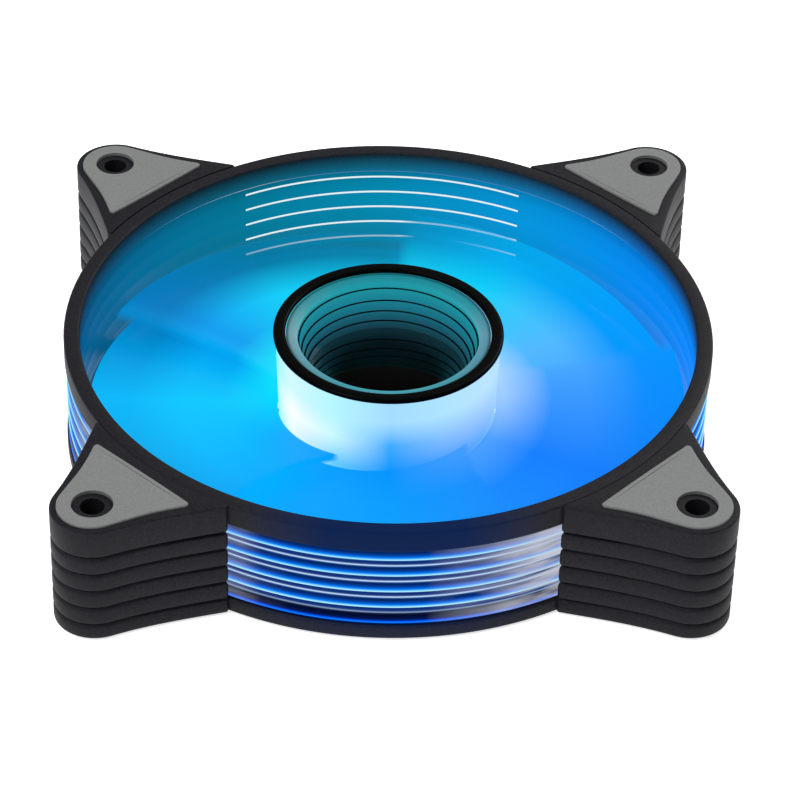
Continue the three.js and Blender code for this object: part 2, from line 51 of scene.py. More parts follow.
# places of the fan, read from the frame's own nodes
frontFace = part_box("front_shell")[1][2]
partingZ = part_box("front_shell")[0][2]
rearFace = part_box("rear_shell")[0][2]
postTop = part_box("rear_shell")[1][2]
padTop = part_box("front_pad_top_right")[1][2]
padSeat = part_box("front_pad_top_right")[0][2]
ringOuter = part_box("front_shell")[1][0]
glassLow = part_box("light_ring")[0][2]
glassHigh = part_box("light_ring")[1][2]
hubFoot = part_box("impeller")[0][2]
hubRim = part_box("impeller")[1][2]
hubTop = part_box("hub_bezel")[1][2]
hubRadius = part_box("hub_bezel")[1][0]
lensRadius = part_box("mirror_lens")[1][0]
quarterNames = ["TopRight", "TopLeft", "BottomLeft", "BottomRight"]
cadQuarters = ["top_right", "top_left", "bottom_left", "bottom_right"]


# ways of working that every piece shares

def deselectAll():
    bpy.ops.object.select_all(action="DESELECT")


def makeActive(piece):
    deselectAll()
    piece.select_set(True)
    bpy.context.view_layer.objects.active = piece


def startEdit(piece, kind="FACE"):
    makeActive(piece)
    bpy.ops.object.mode_set(mode="EDIT")
    bpy.ops.mesh.select_mode(type=kind)


def stopEdit():
    bpy.ops.object.mode_set(mode="OBJECT")


def pickFaces(test):
    # selects the faces of the piece in edit mode that pass the test
    bpy.ops.mesh.select_mode(type="FACE")
    bpy.ops.mesh.select_all(action="DESELECT")
    cage = bmesh.from_edit_mesh(bpy.context.edit_object.data)
    for face in cage.faces:
        if test(face):
            face.select_set(True)
    cage.select_flush_mode()
    bmesh.update_edit_mesh(bpy.context.edit_object.data)


def faceOut():
    # welds the mesh in edit mode and turns its faces outward
    bpy.ops.mesh.select_all(action="SELECT")
    bpy.ops.mesh.remove_doubles(threshold=mm(0.002))
    bpy.ops.mesh.normals_make_consistent(inside=False)


def drawOutline(name, points, z, fill="NGON"):
    # a circle whose vertices are moved onto the outline
    deselectAll()
    bpy.ops.mesh.primitive_circle_add(vertices=len(points), radius=mm(10), fill_type=fill)
    piece = bpy.context.object
    piece.name = name
    for vertex, (x, y) in zip(piece.data.vertices, points):
        vertex.co = (x, y, z)
    return piece


def turnProfile(name, points, steps):
    # the same circle, moved onto a section of [radius, z] points and spun about the fan's axis
    piece = drawOutline(name, points, 0, fill="NOTHING")
    for vertex, (radius, z) in zip(piece.data.vertices, points):
        vertex.co = (radius, 0, z)
    startEdit(piece, "VERT")
    bpy.ops.mesh.select_all(action="SELECT")
    bpy.ops.mesh.spin(steps=steps, angle=math.tau, center=(0, 0, 0), axis=(0, 0, 1))
    bpy.ops.mesh.select_all(action="SELECT")
    bpy.ops.mesh.remove_doubles(threshold=mm(0.002))
    bpy.ops.mesh.delete_loose(use_verts=True, use_edges=True, use_faces=False)
    faceOut()
    stopEdit()
    return piece


def extrudeUp(height):
    bpy.ops.mesh.extrude_region_move(TRANSFORM_OT_translate={"value": (0, 0, height)})


def pickCap(z):
    pickFaces(lambda face: all(abs(v.co.z - z) < mm(0.01) for v in face.verts))


def splitFaces():
    # many-sided faces with a hollow edge are cut into triangles before a boolean meets them
    bpy.ops.mesh.select_all(action="SELECT")
    bpy.ops.mesh.quads_convert_to_tris(quad_method="BEAUTY", ngon_method="BEAUTY")


def applyModifiers(piece):
    makeActive(piece)
    for modifier in list(piece.modifiers):
        bpy.ops.object.modifier_apply(modifier=modifier.name)


def roundEdges(piece, width, segments=3, angle=35):
    bevel = piece.modifiers.new("roundedEdges", "BEVEL")
    bevel.width = width
    bevel.segments = segments
    bevel.limit_method = "ANGLE"
    bevel.angle_limit = math.radians(angle)
    applyModifiers(piece)


def cutAway(piece, cutter):
    boolean = piece.modifiers.new("cutAway", "BOOLEAN")
    boolean.operation = "DIFFERENCE"
    boolean.solver = "EXACT"
    boolean.object = cutter
    applyModifiers(piece)


def drillHole(piece, radius, low, high):
    # on the axis of the first quarter's screw hole
    deselectAll()
    bpy.ops.mesh.primitive_cylinder_add(vertices=48, radius=radius, depth=high - low)
    drill = bpy.context.object
    drill.location = (holeX, holeX, (low + high) / 2)
    bpy.ops.object.transform_apply(location=True)
    cutAway(piece, drill)
    bpy.data.objects.remove(drill)


def turnedCopy(piece, name, degrees):
    makeActive(piece)
    bpy.ops.object.duplicate()
    copy = bpy.context.object
    copy.name = name
    copy.rotation_euler = (0, 0, math.radians(degrees))
    bpy.ops.object.transform_apply(rotation=True)
    return copy


def finishPiece(piece, body, slotName, material, *nodes, angle=35):
    makeActive(piece)
    bpy.ops.object.shade_smooth_by_angle(angle=math.radians(angle))
    piece.data.materials.clear()
    piece.data.materials.append(material)
    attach(piece, body)
    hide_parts(*nodes)
    return piece


def polar(radius, degrees):
    return Vector((radius * math.cos(math.radians(degrees)), radius * math.sin(math.radians(degrees))))


def arcPoints(centre, radius, start, end, steps):
    angles = [start + (end - start) * i / steps for i in range(steps + 1)]
    return [Vector(centre) + polar(radius, angle) for angle in angles]


def bezierPoints(first, second, third, last, steps):
    # the points between the ends of a cubic curve
    points = []
    for i in range(1, steps):
        t = i / steps
        s = 1 - t
        points.append(first * s ** 3 + second * 3 * s * s * t + third * 3 * s * t * t + last * t ** 3)
    return points


def flipped(points):
    # the other half of an outline that is the same on both sides of its corner's diagonal
    return [Vector((p.y, p.x)) for p in reversed(points)]


# materials

wellFloor = 0.7
lensTint = 0.25
lensGain = 1 / (1 - lensTint) ** 2  # light behind the half mirror passes its two faces


def linear(hexColour):
    channels = [int(hexColour[i:i + 2], 16) / 255 for i in (1, 3, 5)]
    return [c / 12.92 if c <= 0.04045 else ((c + 0.055) / 1.055) ** 2.4 for c in channels] + [1.0]


def addNode(material, kind, values=None, links=None, **settings):
    node = material.node_tree.nodes.new(kind)
    for name, value in settings.items():
        setattr(node, name, value)
    for name, value in (values or {}).items():
        node.inputs[name].default_value = value
    for name, source in (links or {}).items():
        material.node_tree.links.new(source, node.inputs[name])
    return node


def startMaterial(name, colour, roughness, metallic=0.0, ior=1.5, **more):
    # more holds any other inputs of the shader, with spaces written as underscores
    material = bpy.data.materials.new(name)
    material.use_nodes = True
    shader = material.node_tree.nodes["Principled BSDF"]
    shader.inputs["Base Color"].default_value = linear(colour)
    shader.inputs["Roughness"].default_value = roughness
    shader.inputs["Metallic"].default_value = metallic
    shader.inputs["IOR"].default_value = ior
    for key, value in more.items():
        shader.inputs[key.replace("_", " ")].default_value = value
    return material, shader


def plug(material, source, socket):
    material.node_tree.links.new(source, socket)


def objectPlace(material):
    return addNode(material, "ShaderNodeTexCoord").outputs["Object"]


def addGrain(material, shader, sizeMm, depthMm):
    # fine uneven surface whose grains are about sizeMm across
    noise = addNode(material, "ShaderNodeTexNoise", {"Scale": 1000 / sizeMm, "Detail": 2.0},
                    {"Vector": objectPlace(material)})
    bump = addNode(material, "ShaderNodeBump", {"Strength": 1.0, "Distance": mm(depthMm)},
                   {"Height": noise.outputs["Fac"]})
    plug(material, bump.outputs["Normal"], shader.inputs["Normal"])
    return noise


def addRamp(material, source, stops):
    ramp = addNode(material, "ShaderNodeValToRGB", links={"Fac": source})
    elements = ramp.color_ramp.elements
    while len(elements) < len(stops):
        elements.new(0.5)
    for element, (position, colour) in zip(elements, stops):
        element.position = position
        element.color = linear(colour)
    return ramp.outputs["Color"]


def mathNode(material, operation, first, second=None, third=None, clamp=False):
    node = addNode(material, "ShaderNodeMath", operation=operation, use_clamp=clamp)
    for socket, value in zip(node.inputs, (first, second, third)):
        if isinstance(value, (int, float)):
            socket.default_value = value
        elif value is not None:
            plug(material, value, socket)
    return node.outputs[0]


def splitPlace(material):
    return addNode(material, "ShaderNodeSeparateXYZ", links={"Vector": objectPlace(material)}).outputs


def axisDistance(material):
    # distance from the fan's axis
    place = splitPlace(material)
    squareX = mathNode(material, "MULTIPLY", place["X"], place["X"])
    squareY = mathNode(material, "MULTIPLY", place["Y"], place["Y"])
    return mathNode(material, "SQRT", mathNode(material, "ADD", squareX, squareY))


def rescale(material, source, low, high):
    node = addNode(material, "ShaderNodeMapRange", {"From Min": low, "From Max": high}, {"Value": source})
    return node.outputs["Result"]


def glow(material, shader, colour, strength):
    plug(material, colour, shader.inputs["Emission Color"])
    shader.inputs["Emission Strength"].default_value = strength


def turnOf(material):
    # direction about the fan's axis, from 0 at +X round to 1
    place = splitPlace(material)
    angle = mathNode(material, "ARCTAN2", place["Y"], place["X"])
    return mathNode(material, "FRACT", mathNode(material, "DIVIDE", angle, math.tau))


def addTurnRamp(material, turn, colours):
    # colours at equal steps round the axis, closing on the first
    steps = len(colours)
    return addRamp(material, turn, [(i / steps, colours[i % steps]) for i in range(steps + 1)])


def addMix(material, factor, first, second, blend="MIX"):
    # for colours, the factor is socket 0, the colours are 6 and 7, and the result is output 2
    node = addNode(material, "ShaderNodeMix", data_type="RGBA", blend_type=blend)
    for socket, value in ((node.inputs[0], factor), (node.inputs[6], first), (node.inputs[7], second)):
        if isinstance(value, str):
            socket.default_value = linear(value)
        elif isinstance(value, (int, float)):
            socket.default_value = value
        else:
            plug(material, value, socket)
    return node.outputs[2]


def ductWash(material):
    # the hub's light on the duct: azure towards +X, teal towards +Y and dim towards -X
    return addTurnRamp(material, turnOf(material), [
        "#0380f4", "#038af4", "#0496dc", "#048ab0", "#027898", "#036a98", "#034f80", "#0878b8", "#0a84d0",
        "#0a86d8", "#0880e0", "#047cec",
    ])


def nearestSide(material, place):
    # distance across the nearest window from its middle
    alongX = mathNode(material, "ABSOLUTE", place["X"])
    alongY = mathNode(material, "ABSOLUTE", place["Y"])
    return mathNode(material, "MINIMUM", alongX, alongY)


def mouldedAbs():
    # black ABS from a spark-eroded tool: nearly matt, with a fine even grain that kills most of the shine;
    # on the -Y side the rims get painted shade and a painted blue glow for the light ring's spill, and in
    # the duct a painted glow of the hub's light fades on the lip
    material, shader = startMaterial("mouldedAbs", "#16161a", 0.55, ior=1.53)
    noise = addGrain(material, shader, 0.45, 0.014)
    grey = addRamp(material, noise.outputs["Fac"], [(0.3, "#131316"), (0.7, "#1f1f25")])
    place, distance = splitPlace(material), axisDistance(material)
    rimOnly = mathNode(material, "GREATER_THAN", distance, mm(56))
    overWindow = rescale(material, nearestSide(material, place), mm(27), mm(12))
    front = rescale(material, place["Y"], mm(-30), mm(-55))
    height = rescale(material, place["Z"], mm(-4), mm(16))
    lit = mathNode(material, "MULTIPLY", mathNode(material, "MULTIPLY", rimOnly, overWindow),
                   mathNode(material, "MULTIPLY", front, height))
    # painted shade and painted spill: where the light ring's blue is painted on the -Y rims, the base goes
    # near black and the shine drops
    plug(material, addMix(material, lit, grey, "#050507"), shader.inputs["Base Color"])
    shine = mathNode(material, "MULTIPLY_ADD", lit, -0.09, 0.11)
    plug(material, shine, shader.inputs["Specular IOR Level"])
    lip = addRamp(material, rescale(material, place["Z"], 0, frontFace), [
        (0.0, "#404040"), (0.13, "#c8c8c8"), (0.82, "#c8c8c8"), (0.93, "#7c7c7c"), (0.985, "#282828"),
        (1.0, "#000000"),
    ])
    # painted glow of the hub's light on the duct's inner face, dimmer at the rear and fading out at the
    # front lip
    inside = mathNode(material, "COMPARE", distance, mm(57), mm(0.4))
    wash = addMix(material, 1.0, ductWash(material), lip, "MULTIPLY")
    spill = addMix(material, lit, "#000000", "#07204c")
    glow(material, shader, addMix(material, inside, spill, wash), 1.0)
    return material


def siliconeRubber():
    # grey silicone, moulded smooth: soft broad highlights and a trace of mottling
    material, shader = startMaterial("siliconeRubber", "#787979", 0.62, ior=1.43)
    noise = addGrain(material, shader, 0.5, 0.003)
    colour = addRamp(material, noise.outputs["Fac"], [(0.35, "#747575"), (0.65, "#7c7d7d")])
    plug(material, colour, shader.inputs["Base Color"])
    return material


ridges = dict(pitch=3.58, firstZ=3.95, wallShift=0.75, windowHalf=26.9, lineWidth=0.42)


def ridgeRow(material, place, shift=0.0):
    # 0 on a ridge's crest, rising to 1 at the next crest towards the front
    rise = mathNode(material, "SUBTRACT", place["Z"], mm(ridges["firstZ"] + shift))
    return mathNode(material, "FRACT", mathNode(material, "DIVIDE", rise, mm(ridges["pitch"])))


def litPolycarbonate():
    # clear polycarbonate light guide lit by the lamps, its glow painted in: each polished ridge has a
    # painted hard white highlight with a blue halo above it and a painted paler reflection below, on painted
    # near-black blue for the dark duct behind; towards the ends of each window a painted veil of scattered
    # light covers the lines, in streaks about 17 mm long and 1.4 mm high
    material, shader = startMaterial("litPolycarbonate", "#000104", 0.07, ior=1.58, Specular_IOR_Level=0.02)
    place = splitPlace(material)
    row = ridgeRow(material, place)
    # painted highlight, halo, paler painted reflection and dark gap across one ridge, crest to crest
    lines = addRamp(material, row, [
        (0.0, "#c4ffff"), (0.03, "#8fe0ff"), (0.075, "#0288ff"), (0.155, "#024cba"), (0.23, "#03327c"),
        (0.32, "#011f58"), (0.385, "#164690"), (0.42, "#8fb0dc"), (0.455, "#d8ecfa"), (0.49, "#7094cc"),
        (0.55, "#15347c"), (0.8, "#06286c"), (0.93, "#0a48a8"), (0.97, "#70ccfa"), (1.0, "#c4ffff"),
    ])
    lowest = addRamp(material, rescale(material, place["Z"], mm(3.4), mm(6.4)), [
        (0.0, "#1482f7"), (0.24, "#1482f7"), (0.32, "#3c4c64"), (0.66, "#5c6c80"), (0.85, "#ffffff"),
    ])
    lines = addMix(material, 1.0, lines, lowest, "MULTIPLY")
    stretched = addNode(material, "ShaderNodeVectorMath", {1: (60, 60, 700)}, {0: objectPlace(material)},
                        operation="MULTIPLY").outputs[0]
    streaks = addNode(material, "ShaderNodeTexNoise", {"Scale": 1.0, "Detail": 3.0}, {"Vector": stretched})
    quarterTurn = mathNode(material, "MULTIPLY_ADD", turnOf(material), 4, 0.5)
    # painted veil of scattered light towards the ends of each window
    veil = addRamp(material, mathNode(material, "FRACT", quarterTurn), [
        (0.2, "#909090"), (0.24, "#303030"), (0.3, "#000000"), (0.56, "#000000"), (0.68, "#a0a0a0"),
        (0.78, "#ffffff"),
    ])
    broken = mathNode(material, "MULTIPLY", veil, rescale(material, streaks.outputs["Fac"], 0.32, 0.62),
                      clamp=True)
    glow(material, shader, addMix(material, broken, lines, "#c0c4d0"), 1.0)
    return material


def wallRows(material, place):
    # ridge lines of the windows, as they show on the inside of the duct
    row = mathNode(material, "PINGPONG", ridgeRow(material, place, ridges["wallShift"]), 0.5)
    line = mathNode(material, "LESS_THAN", row, ridges["lineWidth"] / ridges["pitch"] / 2)
    across = mathNode(material, "ABSOLUTE", place["X"])
    window = mathNode(material, "LESS_THAN", across, mm(ridges["windowHalf"]))
    return mathNode(material, "MULTIPLY", line, window)


def ductLiner():
    # inner face of the same guide, with painted glow for the hub's light, painted a little darker at its
    # bottom and top, and the windows' ridges as fine painted white lines of outside light showing through
    material, shader = startMaterial("ductLiner", "#01060a", 0.4, ior=1.58, Specular_IOR_Level=0.04)
    place = splitPlace(material)
    wash = ductWash(material)
    height = rescale(material, place["Z"], glassLow, glassHigh)
    shade = addRamp(material, height, [
        (0.0, "#e6e6e6"), (0.3, "#f4f4f4"), (0.6, "#ffffff"), (0.85, "#f4f4f4"), (1.0, "#d4d4d4"),
    ])
    wall = addMix(material, 1.0, wash, shade, "MULTIPLY")
    glow(material, shader, addMix(material, wallRows(material, place), wall, "#e4f3f6"), 1.0)
    return material


def frostedPolycarbonate():
    # translucent frosted polycarbonate with painted glow for the ring of lamps under the hub: near the hub
    # the painted light is white to lavender, further out blue, a little different all the way round, and
    # painted shade makes the outer part darker teal towards +Y
    material, shader = startMaterial("frostedPolycarbonate", "#01060a", 0.5, ior=1.58,
                                     Specular_IOR_Level=0.05)
    turn = turnOf(material)
    near = addTurnRamp(material, turn, [
        "#9ccafe", "#b0dcfe", "#48d8fa", "#2cd6ee", "#24dcf2", "#16e6fb", "#02d2fe", "#04aafd", "#049ffe",
        "#0694fd", "#3c9afe", "#4c9ffe",
    ])
    middle = addTurnRamp(material, turn, [
        "#3898fe", "#50b8fe", "#04d0fa", "#05c4ea", "#03d0fa", "#049ef0", "#04c8fe", "#04b8fe", "#05a4fe",
        "#039cfd", "#108cfd", "#087efe",
    ])
    # painted shade: the outer part is darker teal towards +Y
    outer = addTurnRamp(material, turn, [
        "#048efe", "#029cfd", "#02aef0", "#0684ac", "#027aa8", "#037ac0", "#04b8fa", "#05a6ea", "#0698ec",
        "#048ef4", "#0880f8", "#047cf8",
    ])
    distance = axisDistance(material)
    inwards = addMix(material, rescale(material, distance, mm(22), mm(31)), near, middle)
    outwards = rescale(material, distance, mm(38), mm(48))
    glow(material, shader, addMix(material, outwards, inwards, outer), 1.0)
    # the leading edge thins out to nothing, and at the tips towards +Y the duct shows through
    ownMap = addNode(material, "ShaderNodeTexCoord").outputs["UV"]
    along = addNode(material, "ShaderNodeSeparateXYZ", links={"Vector": ownMap}).outputs["X"]
    edge = rescale(material, along, 1.0, 0.955)
    tipClear = addTurnRamp(material, turn, [
        "#303030", "#505050", "#c0c0c0", "#cccccc", "#c0c0c0", "#484848", "#181818", "#101010", "#101010",
        "#101010", "#101010", "#202020",
    ])
    tip = rescale(material, distance, mm(49.6), mm(51.6))
    clear = mathNode(material, "MULTIPLY", tip, tipClear, clamp=True)
    alpha = mathNode(material, "MULTIPLY", edge, mathNode(material, "SUBTRACT", 1.0, clear), clamp=True)
    plug(material, alpha, shader.inputs["Alpha"])
    return material


def hubGlow():
    # the hub's frosted wall, lit from inside: almost white towards -X and -Y, lavender towards +X, where the
    # white gives way to blue towards the foot
    material, shader = startMaterial("hubGlow", "#0a1c22", 0.45, ior=1.58, Specular_IOR_Level=0.1)
    turn = turnOf(material)
    high = addTurnRamp(material, turn, [
        "#a9d6fc", "#8fd8fc", "#40d8fa", "#2cd6ee", "#24dcf2", "#38e6fa", "#70f0fe", "#d4f8fd", "#b6f6fe",
        "#a4dcfe", "#b0e4fe", "#bce2fe",
    ])
    middle = addTurnRamp(material, turn, [
        "#a4d0fd", "#8fd0fc", "#40d8fa", "#2cd6ee", "#24dcf2", "#38e6fa", "#8cf0fe", "#fffeff", "#cbf8fe",
        "#3caafe", "#88bffe", "#9ec8fe",
    ])
    low = addTurnRamp(material, turn, [
        "#98c6fe", "#8ccafe", "#40d8fa", "#2cd6ee", "#24dcf2", "#38e6fa", "#60e6fb", "#e4faff", "#68ccfd",
        "#0694fd", "#3c99fe", "#60a6fe",
    ])
    height = splitPlace(material)["Z"]
    lower = addMix(material, rescale(material, height, mm(6.5), mm(12.5)), low, middle)
    upper = rescale(material, height, mm(12.5), mm(18))
    glow(material, shader, addMix(material, upper, lower, high), 1.0)
    return material


def glossAbs():
    # gloss black ABS bezel: deep black, with only a thin soft highlight along its rounded edges
    material, shader = startMaterial("glossAbs", "#000101", 0.3, ior=1.53, Specular_IOR_Level=0.03)
    addGrain(material, shader, 3.0, 0.001)
    return material


def smokedAcrylic():
    # the front half mirror: smoked acrylic that takes nearly half of the light on its way out
    material, shader = startMaterial("smokedAcrylic", "#000000", 0.05, ior=1.49, Specular_IOR_Level=0.04)
    shader.inputs["Alpha"].default_value = lensTint
    addGrain(material, shader, 8.0, 0.0005)
    return material


def lightGuide():
    # frosted teal light guide that slopes down to the mirror well, brightest at the well's lip
    material, shader = startMaterial("lightGuide", "#021214", 0.4, ior=1.58, Specular_IOR_Level=0.2)
    sides = addTurnRamp(material, turnOf(material), [
        "#6aacc0", "#34a4b4", "#1fa0ae", "#1e9cac", "#1fa0ae", "#3ea6b2", "#80b6c2", "#6aa8b8", "#4ca8b8",
        "#52b0c0", "#4ca8b8", "#5ea6ba",
    ])
    distance = rescale(material, axisDistance(material), mm(16.8), lensRadius)
    lip = addRamp(material, distance, [
        (0.0, "#ffffff"), (0.1, "#e8e8e8"), (0.7, "#d8d8d8"), (1.0, "#3c3c3c"),
    ])
    glow(material, shader, addMix(material, 1.0, sides, lip, "MULTIPLY"), lensGain)
    return material


def tunnelWall():
    # the mirror well's wall: teal at the mouth, losing light on the way down
    low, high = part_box("mirror_well")[0][2] + mm(wellFloor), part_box("mirror_well")[1][2]
    material, shader = startMaterial("tunnelWall", "#010a0c", 0.4, ior=1.53, Specular_IOR_Level=0.1)
    depth = rescale(material, splitPlace(material)["Z"], low, high)
    colour = addRamp(material, depth, [
        (0.0, "#0f3844"), (0.25, "#155466"), (0.5, "#177083"), (0.75, "#188294"), (1.0, "#1c949f"),
    ])
    glow(material, shader, colour, lensGain)
    return material


def shadeGapRib():
    # matt black ribs between the lit bands, standing in as painted shade for the dark gaps between the
    # tunnel's rings of light, with a slight tooth that keeps them from shining
    material, shader = startMaterial("shadeGapRib", "#000202", 0.7, ior=1.53, Specular_IOR_Level=0.05)
    addGrain(material, shader, 0.5, 0.003)
    return material


def silveredMirror():
    # rear mirror of the well: silvered at its edge, where it carries the ribs on, and painted black in the
    # middle as shade where the tunnel fades to dark
    material, shader = startMaterial("silveredMirror", "#808080", 0.02, metallic=1.0)
    distance = rescale(material, axisDistance(material), mm(5), mm(14.8))
    colour = addRamp(material, distance, [
        (0.0, "#000000"), (0.4, "#000000"), (0.55, "#303030"), (0.75, "#707070"), (1.0, "#c0c0c0"),
    ])
    plug(material, colour, shader.inputs["Base Color"])
    return material


def plainFinish(name, colour, roughness, metallic, grainMm, depthMm):
    # metal with fine scratches that spread its highlight, or plastic and resin with a faint even grain
    material, shader = startMaterial(name, colour, roughness, metallic)
    addGrain(material, shader, grainMm, depthMm)
    return material


finishes = {
    "abs": mouldedAbs(),
    "rubber": siliconeRubber(),
    "glass": litPolycarbonate(),
    "liner": ductLiner(),
    "blade": frostedPolycarbonate(),
    "hub": hubGlow(),
    "bezel": glossAbs(),
    "lens": smokedAcrylic(),
    "guide": lightGuide(),
    "tunnel": tunnelWall(),
    "rib": shadeGapRib(),
    "mirror": silveredMirror(),
}
print("materials made:", len(finishes))


# corners: an outline with a round nose about the screw hole and a hollow cheek down to the ring on each side

corner = dict(halfArc=16.0, hole=52.5, nose=7.5, cheekStep=0.6, lead=8.0, tail=7.0, leadSlope=14.5,
              tailSlope=24.0, seam=0.04, rearBand=3.0, grooves=4, groovePitch=3.8, grooveDepth=0.55,
              grooveHeight=0.7, shoulder=0.5, shoulderDrop=0.14, edge=0.35, bore=2.2)
holeX = mm(corner["hole"])


def cornerPoints(inset=0.0):
    # closed outline of one corner, drawn in by inset everywhere but along the ring
    reach = corner["halfArc"] - math.degrees(inset / ringOuter)
    nose = mm(corner["nose"]) - inset
    start = polar(ringOuter + mm(corner["cheekStep"]) - inset, 45 - reach)
    noseStart = Vector((holeX, holeX)) + polar(nose, -corner["tailSlope"])
    second = start + polar(mm(corner["lead"]), 90 - corner["leadSlope"])
    third = noseStart - polar(mm(corner["tail"]), 90 - corner["tailSlope"])
    cheek = [start] + bezierPoints(start, second, third, noseStart, 14)
    nosePoints = arcPoints((holeX, holeX), nose, -corner["tailSlope"], 90 + corner["tailSlope"], 28)
    inner = arcPoints((0, 0), ringOuter + mm(corner["seam"]), 45 + reach, 45 - reach, 24)
    return cheek + nosePoints + flipped(cheek) + inner


pad = dict(edge=1.2, holeRadius=3.7, tip=0.8, tipSet=1.0, tipAngle=9.9, tipTurn=15.0, tail=5.6,
           backStep=2.0, lip=0.55, lipDepth=0.07, round=0.28, seatGap=0.1, seatDepth=0.6)


def padPoints(grow=0.0):
    # closed outline of one pad, let out by grow all round
    nose = mm(corner["nose"] - pad["edge"]) + grow
    tipRadius = mm(pad["tip"]) + grow
    backRadius = ringOuter + mm(pad["backStep"]) - grow
    tip = polar(backRadius + mm(pad["tipSet"]) + tipRadius, 45 - pad["tipAngle"])
    tipPoints = arcPoints(tip, tipRadius, -90 - pad["tipAngle"], -pad["tipTurn"], 10)
    noseStart = Vector((holeX, holeX)) + polar(nose, -corner["tailSlope"])
    second = tipPoints[-1] + polar(mm(corner["tail"]), 90 - corner["leadSlope"])
    third = noseStart - polar(mm(pad["tail"]), 90 - corner["tailSlope"])
    cheek = bezierPoints(tipPoints[-1], second, third, noseStart, 12)
    nosePoints = arcPoints((holeX, holeX), nose, -corner["tailSlope"], 90 + corner["tailSlope"], 28)
    middle = polar(backRadius, 45)
    first, last = flipped(tipPoints)[-1], tipPoints[0]
    ringSide = []
    for i in range(1, 16):
        t = i / 16
        ringSide.append(first * (1 - t) ** 2 + middle * 2 * t * (1 - t) + last * t * t)
    return tipPoints + cheek + nosePoints + flipped(cheek) + flipped(tipPoints) + ringSide


def padSolid(name, low, high, grow=0.0):
    piece = drawOutline(name, padPoints(grow), low)
    startEdit(piece)
    bpy.ops.mesh.select_all(action="SELECT")
    extrudeUp(high - low)
    faceOut()
    stopEdit()
    return piece


def cutSeat(piece, low, high):
    # the pad's seat, with the screw boss left standing in it
    cutter = padSolid("seatCutter", low, high, mm(pad["seatGap"]))
    drillHole(cutter, mm(pad["holeRadius"] - pad["seatGap"]), low - mm(1), high + mm(1))
    cutAway(piece, cutter)
    bpy.data.objects.remove(cutter)


def cornerSolid(name, levels):
    # levels are heights with how far the outline is drawn in there, from the rear up
    base = cornerPoints()
    piece = drawOutline(name, base, levels[0][0])
    startEdit(piece)
    bpy.ops.mesh.select_all(action="SELECT")
    for (low, _), (high, _) in zip(levels, levels[1:]):
        extrudeUp(high - low)
    faceOut()
    stopEdit()
    for z, inset in levels:
        target = cornerPoints(inset)
        for vertex in piece.data.vertices:
            if abs(vertex.co.z - z) < mm(0.01):
                place = Vector((vertex.co.x, vertex.co.y))
                nearest = min(range(len(base)), key=lambda i: (base[i] - place).length)
                vertex.co.x, vertex.co.y = target[nearest]
    return piece


def roundOutside(z, width):
    # rounds a cap's edge, apart from the hollow side that meets the ring
    pickCap(z)
    bpy.ops.mesh.region_to_loop()
    cage = bmesh.from_edit_mesh(bpy.context.edit_object.data)
    for edge in cage.edges:
        if edge.select and all(v.co.xy.length < ringOuter + mm(0.2) for v in edge.verts):
            edge.select_set(False)
    bmesh.update_edit_mesh(bpy.context.edit_object.data)
    bpy.ops.mesh.bevel(offset=width, segments=3, affect="EDGES")


def grooveLevels(z, side):
    # one side of a groove: a steep flank, then a soft shoulder
    depth, half, shoulder = (mm(corner[key]) for key in ("grooveDepth", "grooveHeight", "shoulder"))
    flank = z + side * half / 2
    return [(z, depth), (flank, mm(corner["shoulderDrop"])), (flank + side * shoulder, 0)]


def frontCorner():
    piece = cornerSolid("cornerPlate", grooveLevels(partingZ, 1) + [(frontFace, 0)])
    startEdit(piece)
    roundOutside(frontFace, mm(corner["edge"]))
    splitFaces()
    stopEdit()
    cutSeat(piece, padSeat - mm(0.1), frontFace + mm(1))
    drillHole(piece, mm(pad["holeRadius"] - 0.05), frontFace - mm(0.25), frontFace + mm(1))
    drillHole(piece, mm(corner["bore"]), partingZ - mm(1), frontFace + mm(1))
    return piece


def rearPost():
    levels = [(rearFace, 0)]
    for i in range(corner["grooves"]):
        z = rearFace + mm(corner["rearBand"] + corner["groovePitch"] * i)
        levels += grooveLevels(z, -1)[::-1] + grooveLevels(z, 1)[1:]
    levels += grooveLevels(postTop, -1)[::-1]
    piece = cornerSolid("postBlank", levels)
    startEdit(piece)
    roundOutside(rearFace, mm(corner["edge"]))
    splitFaces()
    stopEdit()
    cutSeat(piece, rearFace - mm(1), rearFace + mm(pad["seatDepth"]))
    drillHole(piece, mm(corner["bore"]), rearFace - mm(1), postTop + mm(1))
    return piece


def frontPad():
    piece = padSolid("padBlank", padSeat, padTop)
    startEdit(piece)
    pickCap(padTop)
    bpy.ops.mesh.region_to_loop()
    bpy.ops.mesh.bevel(offset=mm(pad["round"]), segments=4, affect="EDGES")
    pickFaces(lambda face: face.calc_center_median().z > padTop - mm(0.001) and face.normal.z > 0.99)
    bpy.ops.mesh.inset(thickness=mm(pad["lip"]), depth=-mm(pad["lipDepth"]))
    stopEdit()
    drillHole(piece, mm(pad["holeRadius"]), padSeat - mm(1), padTop + mm(1))
    return piece


